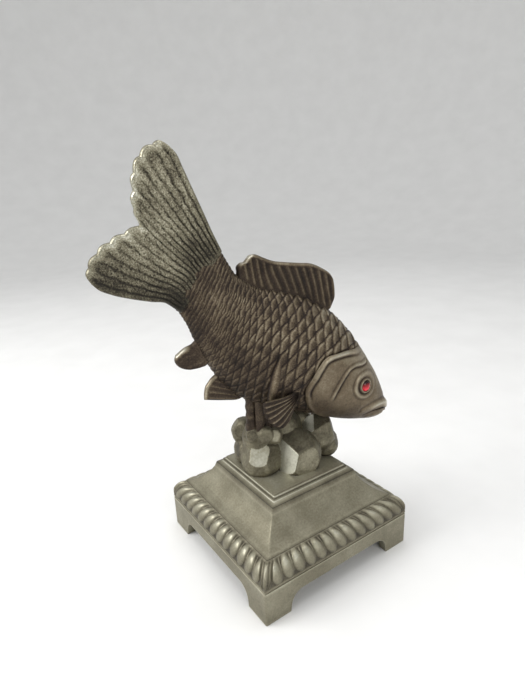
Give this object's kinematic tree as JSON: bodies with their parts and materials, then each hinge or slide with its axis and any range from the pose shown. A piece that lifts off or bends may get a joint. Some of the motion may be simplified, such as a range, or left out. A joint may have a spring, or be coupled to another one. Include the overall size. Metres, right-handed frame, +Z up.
{
  "type": "fish figurine",
  "caption": "Cast metal carp diving over a rock mound, on a stepped square pedestal with a gadrooned border and bracket feet, with red glass eyes.",
  "frame": {"origin": "middle of the square pedestal, on the plane that its four feet stand on", "axes": "+Z up; X and Y square to the pedestal's sides; the fish's head points to +X, turned 15 degrees towards -Y"},
  "size_m": [0.1009, 0.0656, 0.1453],
  "materials": {
    "cast_metal": "aged cast metal, greenish grey, dark brown patina in the recesses and bright worn edges",
    "eye_glass": "polished red glass stone",
    "screw_steel": "plain zinc-plated steel"
  },
  "bodies": {
    "root": {"pedestal": "cast_metal", "rock_mound": "cast_metal", "water_weed": "cast_metal", "fish_body": "cast_metal", "tail_fin": "cast_metal", "dorsal_fin": "cast_metal", "anal_fin": "cast_metal", "pelvic_fin": "cast_metal", "pectoral_fin_right": "cast_metal", "pectoral_fin_left": "cast_metal", "eye_stone_right": "eye_glass", "eye_stone_left": "eye_glass", "fixing_screw": "screw_steel", "washer": "screw_steel"}
  },
  "joints": []
}
